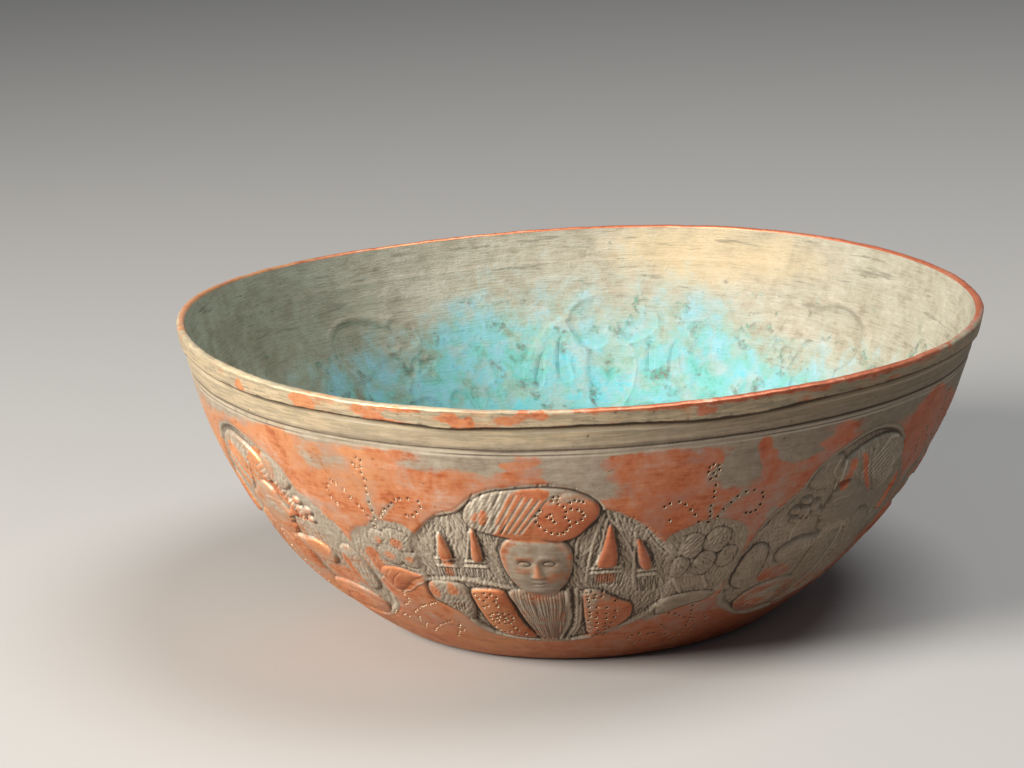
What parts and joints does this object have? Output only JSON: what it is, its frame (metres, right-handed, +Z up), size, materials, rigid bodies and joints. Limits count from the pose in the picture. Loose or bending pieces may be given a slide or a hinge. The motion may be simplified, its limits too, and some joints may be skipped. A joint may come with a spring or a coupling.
{
  "type": "bowl",
  "caption": "Hand-raised copper bowl with a flat base, a hemmed lip, a tinned inside and a wall chased with lobed figure medallions.",
  "frame": {"origin": "centre of the flat base's underside, on the surface that the bowl stands on", "axes": "+Z up along the bowl's axis, -Y towards the front medallion's side, +X to the right as seen from the front"},
  "size_m": [0.2444, 0.2446, 0.0964],
  "materials": {
    "copper_body": "satin",
    "rim_band": "satin",
    "tin_lining": "matte"
  },
  "bodies": {
    "root": {"copper_body": "copper_body", "rim_band": "rim_band", "tin_lining": "tin_lining"}
  },
  "joints": []
}
